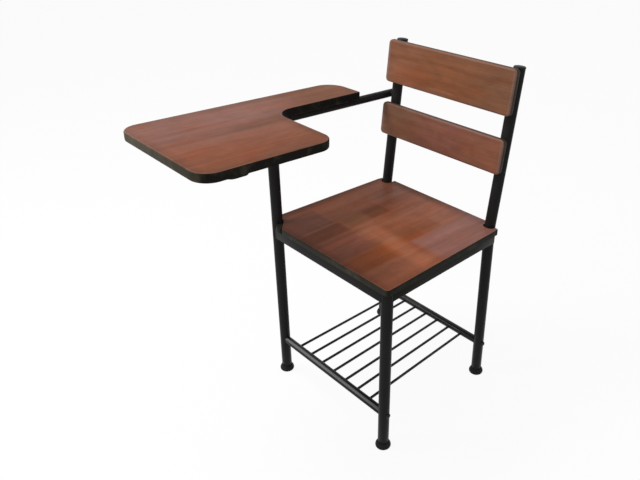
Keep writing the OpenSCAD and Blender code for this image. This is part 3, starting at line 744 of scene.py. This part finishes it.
# The seat's outline runs round notches for the rear posts and is cut back beside the tall front leg
NOTCH = LEG_R + 1.0
NOTCH_Y = BEND_Y - NOTCH
POST_IN, POST_OUT = REAR_X - NOTCH, REAR_X + NOTCH
SEAT_CORNERS = [[-143.0, SEAT_FRONT], [198, SEAT_FRONT], [191.25, 347.8], [POST_OUT, 347.8],
                [POST_OUT, NOTCH_Y], [POST_IN, NOTCH_Y], [POST_IN, SEAT_REAR],
                [-POST_IN, SEAT_REAR], [-POST_IN, NOTCH_Y], [-POST_OUT, NOTCH_Y],
                [-POST_OUT, 356.9], [-185.9, 353.0], [-189.9, 345.6], [-191.6, 337.0], [-202.98, 13.2],
                [-175.4, 13.2]]
SEAT_RADII = [3, 9, 5, 3, 11, 11, 3, 3, 11, 11, 3, 8, 12, 16, 4, 3]
shell, edge = board(SEAT_CORNERS, SEAT_RADII, SEAT_T, 1.8, level_place(0, 0, SEAT_Z))
piece("seat_board", [shell], seat_wood, ["seat_panel"], edge)

TABLET_CORNERS = [[-TABLET_OUT - TABLET_FLARE, -TABLET_FRONT],
                  [TABLET_IN - TABLET_PINCH, -TABLET_FRONT - TABLET_LEAD], [TABLET_IN, TABLET_REAR],
                  [ARM_W - TABLET_OUT, TABLET_REAR + TABLET_SKEW], [ARM_W - TABLET_OUT, ARM_END],
                  [-TABLET_OUT, ARM_END]]
shell, edge = board(TABLET_CORNERS, TABLET_RADII, TABLET_T, 2.6, tablet_place(), 16)
piece("writing_tablet", [shell], tablet_wood, ["tablet"], edge)


def slat(name, at, height, wood, node):
    """Back slat: a board standing on its edge, its back face against the fronts of the posts."""
    out = np.cross(POST_UP, X) * -1
    place = axes(np.array([0, BEND_Y, BEND_Z]) + at * POST_UP + (LEG_R + SLAT_T) * out, out, X)
    left, right = -SLAT_W / 2 - SLAT_SHIFT, SLAT_W / 2 - SLAT_SHIFT
    corners = [[left, 0], [right, 0], [right, height], [left, height]]
    shell, edge = board(corners, [SLAT_CORNER] * 4, SLAT_T, 5.0, place,
                        worn=(0.85, 0.6, 0.42, 0.34, 0.28, 0.2, 0.1))
    piece(name, [shell], wood, [node], edge)


slat("upper_back_slat", UPPER_AT, UPPER_H, upper_wood, "back_slat_upper")
slat("lower_back_slat", LOWER_AT, LOWER_H, lower_wood, "back_slat_lower")


# Tube frame

ROUND_LEG, ROUND_SMALL, ROUND_ROD = circle(LEG_R), circle(SMALL_R, 44), circle(ROD_R, 24)
SIDES = ((1, "left"), (-1, "right"))
POST_BEND_R = 110.0
leg_top = tablet_place(-FRONT_X, -TABLET_T - PLATE_T)([0, 0, 0])[2]
tube = bar([FRONT_X, 0, FOOT_FLOOR], [FRONT_X, 0, SEAT_UNDER], ROUND_LEG, LEG_R, X)
piece("front_left_leg_tube", [tube], paint, ["front_left_leg"])
tube = bar([-FRONT_X, 0, FOOT_FLOOR], [-FRONT_X, 0, leg_top], ROUND_LEG, LEG_R, X)
piece("tall_front_leg_tube", [tube], paint, ["front_right_leg"])
for side, word in SIDES:
    bend = np.array([side * REAR_X, BEND_Y, BEND_Z])
    top = post_place(side)([0, 0, POST_LEN])
    tube = bent_bar(low_point(side, FOOT_FLOOR), bend, top, POST_BEND_R, ROUND_LEG, LEG_R)
    piece(f"rear_{word}_leg_tube", [tube], paint, [f"rear_{word}_leg"])

SEAT_RAIL_Z = SEAT_UNDER - SIDE_RAIL / 2
FRONT_RAIL_Z = SEAT_UNDER - FRONT_RAIL / 2
SIDE_X = FRONT_X + LEG_R - SIDE_RAIL / 2
SIDE_LEAN = SIDE_TAPER / BEND_Y
SIDE_RAIL_ENDS = (RAIL_START, 341.0)
rear_rail_y = low_point(1, SEAT_RAIL_Z)[1]
profile, profile_normals = square(FRONT_RAIL)
small_profile, small_normals = square(SIDE_RAIL)


def side_rail_point(side, y):
    """Axis of a seat side rail at a distance behind the front legs."""
    return np.array([side * (SIDE_X - y * SIDE_LEAN), y, SEAT_RAIL_Z])


rail = bar([RAIL_START - FRONT_X, 0, FRONT_RAIL_Z], [FRONT_X - RAIL_START, 0, FRONT_RAIL_Z],
           profile, FRONT_RAIL / 2)
piece("seat_rail_front", [rail], paint, ["seat_front_rail"])
rail = bar([RAIL_START - REAR_X, rear_rail_y, SEAT_RAIL_Z], [REAR_X - RAIL_START, rear_rail_y, SEAT_RAIL_Z],
           small_profile, SIDE_RAIL / 2)
piece("seat_rail_rear", [rail], shaded_seat_rail_paint, ["seat_rear_rail"])
for side, word in SIDES:
    rail = bar(*(side_rail_point(side, y) for y in SIDE_RAIL_ENDS), small_profile, SIDE_RAIL / 2)
    piece(f"seat_rail_{word}", [rail], shaded_seat_rail_paint, [f"seat_{word}_rail"])

# The filler fills the seat's cut-back corner, a little below the seat's face
FILLER_CORNERS = [[8.5, -9], [15.5, -15.2], [19.5, SEAT_FRONT], [37.6, SEAT_FRONT], [17, 2.4], [11.4, 3.4]]
FILLER_RADII = [2.4, 3, 3, 2.4, 2.4, 2.4]
FILLER_DROP = 1.5
shell, _ = board(FILLER_CORNERS, FILLER_RADII, SEAT_T - FILLER_DROP, 1.2,
                 level_place(-FRONT_X, 0, SEAT_Z - FILLER_DROP), 5)
piece("seat_corner_filler", [shell], shaded_seat_rail_paint, ["corner_block"])

arm = tablet_place(-ARM_X, -TABLET_T - SMALL_R)
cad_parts["arm_tube"].data.materials[0] = paint
PLUG_PROFILE = [[7.9, -10], [7.9, -0.1], [9.4, 0], [9.5, 0.5], [9.3, 1.3], [8.5, 2.1], [7, 2.45],
                [4.5, 2.5], [0.4, 2.5]]
plug = axes(arm([0, ARM_TUBE_END, 0]), arm([0, 1, 0]) - arm([0, 0, 0]), X)
piece("arm_tube_plug", [lathe(PLUG_PROFILE, plug, 44)], plastic, ["arm_plug"])

SEAM_X, SEAM_ENDS = -168.7, (-6.5, -63.5)
PLATE_CORNERS = [[-222, -72], [SEAM_X - 0.1, -72], [SEAM_X - 0.1, 9], [-222, 9]]
BAR_CORNERS = [[SEAM_X + 0.1, -5], [SEAM_X + 0.1, -64.6], [33.5, -262], [33.5, -203]]
under_wood, under_steel = tablet_place(0, -TABLET_T), tablet_place(0, -TABLET_T - PLATE_T)
shell, _ = board(PLATE_CORNERS, [4, 2.2, 2.2, 4], PLATE_T, 0.7, under_wood, 5)
piece("tablet_mount_plate", [shell], paint, ["tablet_plate"])
shell, _ = board(BAR_CORNERS, [2.2, 2.2, 14, 14], PLATE_T, 1.7, under_wood, 5)
piece("tablet_mount_bar", [shell], paint, ["tablet_bar"])


# Book rack

rack_rear = {side: low_point(side, RACK_Z) for side in (-1, 1)}
rack_y = rack_rear[1][1]
rack_mid = (rack_rear[1][0] + rack_rear[-1][0]) / 2
rail = bar([RAIL_START - FRONT_X, 0, RACK_Z], [FRONT_X - RAIL_START, 0, RACK_Z], ROUND_SMALL, SMALL_R)
piece("rack_rail_front", [rail], rack_rail_paint, ["rack_front_rail"])
rail = bar(rack_rear[-1] + RAIL_START * X, rack_rear[1] - RAIL_START * X, ROUND_SMALL, SMALL_R)
piece("rack_rail_rear", [rail], rack_paint, ["rack_rear_rail"])
ROD_START = 6.0
rod_ends = []
for number in range(1, 8):
    from_middle = number - 4
    ends = np.array([[from_middle * ROD_FRONT_GAP, 0, RACK_Z],
                     [rack_mid + from_middle * ROD_REAR_GAP, rack_y, RACK_Z]])
    run = unit(ends[1] - ends[0])
    rod_ends.append((ends, run))
    rod = bar(ends[0] + ROD_START * run, ends[1] - ROD_START * run, ROUND_ROD, ROD_R)
    piece(f"rack_rod_bar_{number}", [rod], rack_paint, [f"rack_rod_{number}"])


# Weld beads where the bars meet

def cosines_sines(first, last, steps, whole_turn=False):
    """Cosines and sines of angles from first to last, one column each. A whole turn leaves out the last."""
    angle = np.linspace(first, last, steps, endpoint=not whole_turn)[:, None]
    return np.cos(angle), np.sin(angle)


def rail_weld(rail_profile, rail_normals, centre, along, axis_at, size=LEG_WELD):
    """Closed bead round a rail's end: each profile point slides along the rail until it meets the round leg,
    whose axis at a height axis_at gives."""
    steps, normal = (np.concatenate(np.linspace(ring, np.roll(ring, -1, 0), 8, endpoint=False, axis=1))
                     for ring in (rail_profile, rail_normals))
    across = np.cross(Z, along)
    start = centre + steps[:, :1] * Z + steps[:, 1:] * across * -1
    legs = axis_at(start[:, 2])
    gap = (legs - start) * [1, 1, 0]
    ahead = gap @ along
    aside = np.linalg.norm(gap - ahead[:, None] * along, axis=1)
    slide = ahead - np.sqrt(np.clip(LEG_R ** 2 - aside ** 2, 0.3, None))
    path = start + slide[:, None] * along
    radial = unit((path - legs) * [1, 1, 0])
    rail_side = normal[:, :1] * Z - normal[:, 1:] * across
    return bead(path, radial + rail_side, size)


def seat_welds(side):
    """Beads of one side of the seat frame: front rail, rear rail and side rail to their legs, and one under
    the side rail on the rear leg."""
    def front_leg(z):
        return np.stack([np.full_like(z, side * FRONT_X), np.zeros_like(z), z], -1)

    def rear_leg(z):
        return low_point(side, z)

    front_middle, rear_middle = np.array([0, 0, FRONT_RAIL_Z]), np.array([0, rear_rail_y, SEAT_RAIL_Z])
    rail_run, set_back = unit([side * SIDE_LEAN, -1, 0]), 60
    rail_back = side_rail_point(side, 0) - set_back * rail_run
    c, s = cosines_sines(radians(-105), radians(-24), 60)
    ring = np.hstack([side * c, s, 0 * c])
    under_rail = low_point(side, SEAT_UNDER - SIDE_RAIL) + LEG_R * ring
    return [rail_weld(profile, profile_normals, front_middle, side * X, front_leg),
            rail_weld(small_profile, small_normals, rear_middle, side * X, rear_leg),
            rail_weld(small_profile, small_normals, rail_back, rail_run, front_leg, SIDE_WELD),
            bead(under_rail, ring - Z, LEG_WELD, loop=False)]


def rod_weld(centre, run, sign):
    """Closed bead where a rack rod meets a rail: the rod's circle slid out to the rail's round face."""
    c, s = cosines_sines(0, 2 * pi, 72, True)
    ring = ROD_R * (c * unit(np.cross(Z, run)) + s * Z)
    reach = np.sqrt(SMALL_R ** 2 - ring[:, 2] ** 2)[:, None]
    return bead(centre + ring + sign * reach * Y, unit(ring) + sign * Y, ROD_WELD, ROD_WELD_PITCH)


def tablet_welds():
    """Beads under the tablet: tall leg to plate, plate to bar, arm tube to tall leg and arm tube to rear
    post, where the tube's axis passes the leaning post."""
    c, s = cosines_sines(0, 2 * pi, 180, True)
    ring = np.hstack([c, s, 0 * c])
    under = tablet_place(-FRONT_X, -TABLET_T - PLATE_T)
    leg_to_plate = bead(under(ring * (LEG_R + 0.2)), under(ring - Z) - under(np.zeros(3)), LEG_WELD)

    run = np.linspace(SEAM_ENDS[0], SEAM_ENDS[1], 130)[:, None]
    seam = np.hstack([0 * run + SEAM_X, run, 0 * run])
    plate_to_bar = bead(under_steel(seam), np.repeat(-Z[None], len(seam), 0), SEAM_WELD, loop=False)

    c, s = cosines_sines(radians(-115), radians(28), 80)
    ring = SMALL_R * np.hstack([c, 0 * c, s])
    reach = np.sqrt(LEG_R ** 2 - (ring[:, :1] + FRONT_X - ARM_X) ** 2)
    outward = arm(ring + SMALL_R * Y) - arm(np.zeros(3))
    arm_to_leg = bead(arm(ring + reach * Y), outward, LEG_WELD, loop=False)

    touch = 0.0
    for _ in range(8):
        crossing = arm([0, touch, 0])
        touch += BEND_Y + (crossing[2] - BEND_Z) * tan(POST_LEAN) - crossing[1]
    c, s = cosines_sines(0, 2 * pi, 90, True)
    middle = SMALL_R + (ARM_X - SMALL_R - REAR_X - LEG_R) / 2
    half_length, half_height = 7.2, 6.2
    ring = np.hstack([0 * c + middle, half_length * c, half_height * s])
    arm_to_post = bead(arm(ring + touch * Y), np.hstack([0 * c, c, s]), ARM_WELD)
    return [leg_to_plate, plate_to_bar, arm_to_leg, arm_to_post]


beads = seat_welds(-1) + seat_welds(1)
for ends, run in rod_ends:
    beads += [rod_weld(ends[0], run, 1), rod_weld(ends[1], run, -1)]
beads += tablet_welds()
piece("frame_weld_beads", beads, weld_paint)


# Feet, caps, bolts and screws

FOOT_PROFILE = [[0.5, 0], [9.5, 0], [13.2, 0.05], [14.6, 0.3], [15.9, 0.9], [16.9, 1.9], [17.6, 3.2],
                [17.95, 4.6], [18, 5.9], [17.8, 7.3], [17.4, 8.7], [16.8, 10.1], [16.1, 11.4], [15.4, 12.6],
                [14.9, 13.6], [14.55, 14.5], [14.3, 15.2], [13.95, 15.75], [13.4, 16], [12.6, 15.9],
                [12.5, 12]]
for word, spot in (("front_left", [FRONT_X, 0, 0]), ("front_right", [-FRONT_X, 0, 0]),
                   ("rear_left", low_point(1, 0.0)), ("rear_right", low_point(-1, 0.0))):
    foot = lathe(FOOT_PROFILE, level_place(*spot), 64)
    piece(f"rubber_foot_{word}", [foot], rubber, [f"foot_{word}"])

CAP_PROFILE = [[11.1, -10], [11.1, -0.2], [13.0, -0.05], [13.25, 0.3], [13.3, 0.9], [13.25, 1.8], [13.0, 2.5],
               [12.4, 3.2], [11.4, 3.75], [9.8, 4.2], [7.4, 4.55], [4.5, 4.75], [0.5, 4.8]]
CAP_ON_POST = np.array(CAP_PROFILE) + [0, POST_LEN]
for side, word in SIDES:
    cap = lathe(CAP_ON_POST, post_place(side))
    piece(f"post_cap_{word}", [cap], plastic, [f"cap_{word}"])

BOLT_PROFILE = [[6.1, -1.7], [6.2, 0.3], [6.15, 1.0], [5.85, 1.6], [5.1, 2.5], [4.1, 3.3], [2.9, 3.95],
                [1.6, 4.3], [0.3, 4.4]]
heads = []
for side in (-1, 1):
    for spot in (np.array([side * FRONT_X, 0, RACK_Z]), rack_rear[side]):
        heads.append(lathe(BOLT_PROFILE, axes(spot + side * LEG_R * X, side * X, Z), 40))
piece("rack_bolt_heads", heads, steel, ["rack_bolts"])

slat_screws = [UPPER_AT + z for z in UPPER_SCREWS] + [LOWER_AT + z for z in LOWER_SCREWS]
heads = []
for side in (-1, 1):
    post = post_place(side)
    backward = post([0, 1, 0]) - post([0, 0, 0])
    heads += [screw_head(axes(post([0, LEG_R - 0.2, z]), backward, X)) for z in slat_screws]
piece("slat_screw_heads", heads, steel, ["slat_screws"])

spots = [[x, 0, SEAT_UNDER - FRONT_RAIL] for x in SEAT_FRONT_SCREWS]
spots += [[x, rear_rail_y, SEAT_UNDER - SIDE_RAIL] for x in SEAT_REAR_SCREWS]
spots += [side_rail_point(side, y) - SIDE_RAIL / 2 * Z for side in (-1, 1) for y in SEAT_SIDE_SCREWS]
heads = [screw_head(axes(spot, -Z, X)) for spot in spots]
piece("seat_screw_heads", heads, steel, ["seat_screws"])

in_tube = tablet_place(-ARM_X, -TABLET_T - ARM_HEAD_DROP)
down = under_steel([0, 0, -1]) - under_steel([0, 0, 0])
heads = [screw_head(axes(under_steel([x, y, 0]), down, X)) for x, y in PLATE_SCREWS + BAR_SCREWS]
heads += [screw_head(axes(in_tube([0, y, 0]), down, X), r=4.0) for y in ARM_SCREWS]
piece("tablet_screw_heads", heads, steel, ["tablet_screws"])
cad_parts["rack_inserts"].data.materials[0] = steel


# Camera, light and floor

PHOTO_W, PHOTO_H = 640, 480
CAMERA_AT = np.array([924.61, -767.494, 1167.043])
FOCAL_PX, AXIS_PX = 650.79, (356.277, 240.564)
SENSOR_MM = 36
turn, rise = radians(47.395), radians(30.122)
forward = Vector((-sin(turn) * cos(rise), cos(turn) * cos(rise), -sin(rise)))
right = Vector((cos(turn), sin(turn), 0))
stand = Matrix((right, right.cross(forward), -forward)).transposed().to_4x4()
stand.translation = Vector(CAMERA_AT + SHIFT) / 1000
lens = bpy.data.cameras.new("photo_view")
camera = bpy.data.objects.new("photo_view", lens)
scene.collection.objects.link(camera)
camera.matrix_world = stand
lens.sensor_width = SENSOR_MM
lens.sensor_fit = "HORIZONTAL"
lens.lens = FOCAL_PX * SENSOR_MM / PHOTO_W
lens.shift_x = (PHOTO_W / 2 - AXIS_PX[0]) / PHOTO_W
lens.shift_y = (AXIS_PX[1] - PHOTO_H / 2) / PHOTO_W
scene.camera = camera
scene.view_settings.view_transform = "Standard"


def softbox(name, spot, target, width, height, watts):
    """Studio lamp of a width and height at a spot, turned to its target."""
    light = bpy.data.lights.new(name, "AREA")
    light.shape, light.size, light.size_y, light.energy = "RECTANGLE", width, height, watts
    lamp = bpy.data.objects.new(name, light)
    scene.collection.objects.link(lamp)
    lamp.location = spot
    lamp.rotation_euler = (Vector(target) - Vector(spot)).to_track_quat("-Z", "Y").to_euler()


softbox("key_softbox", (-0.95, -0.6, 2.4), (0.0, 0.05, 0.45), 0.7, 0.8, 34.0)
softbox("front_softbox", (-1.3, -1.9, 1.55), (0.0, 0.0, 0.35), 0.75, 0.5, 17.0)


def shows(finish):
    """1 for a ray that shows the background: straight to the camera, by reflection or through glass."""
    camera_ray, glossy_ray, clear_ray = (finish.add("LightPath", out=f"Is {kind} Ray")
                                         for kind in ("Camera", "Glossy", "Transmission"))
    return camera_ray + glossy_ray + clear_ray


scene.world = bpy.data.worlds.new("studio")
studio = Finish("studio", scene.world)
FILL_LIGHT, BACKDROP, FLOOR_GLOW = 0.5, 0.985, 0.93
level = studio.step(shows(studio), 0.0, 1.0, FILL_LIGHT, BACKDROP)
sky = studio.add("Background", None, {"Color": (1, 1, 1, 1), "Strength": level})
studio.add("OutputWorld", None, {"Surface": sky})

pale_floor = Finish("pale_floor")
matte = pale_floor.add("BsdfDiffuse", None, {"Color": (0.88, 0.88, 0.88, 1)})
glow = pale_floor.add("Emission", None, {"Color": (1, 1, 1, 1), "Strength": 1.0})
blend = pale_floor.add("MixShader", None, {0: shows(pale_floor) * FLOOR_GLOW, 1: matte, 2: glow})
pale_floor.add("OutputMaterial", None, {"Surface": blend})
mesh = bpy.data.meshes.new("floor")
mesh.from_pydata([(-8, -8, 0), (8, -8, 0), (8, 8, 0), (-8, 8, 0)], [], [(0, 1, 2, 3)])
mesh.materials.append(pale_floor.material)
floor = bpy.data.objects.new("floor", mesh)
scene.collection.objects.link(floor)
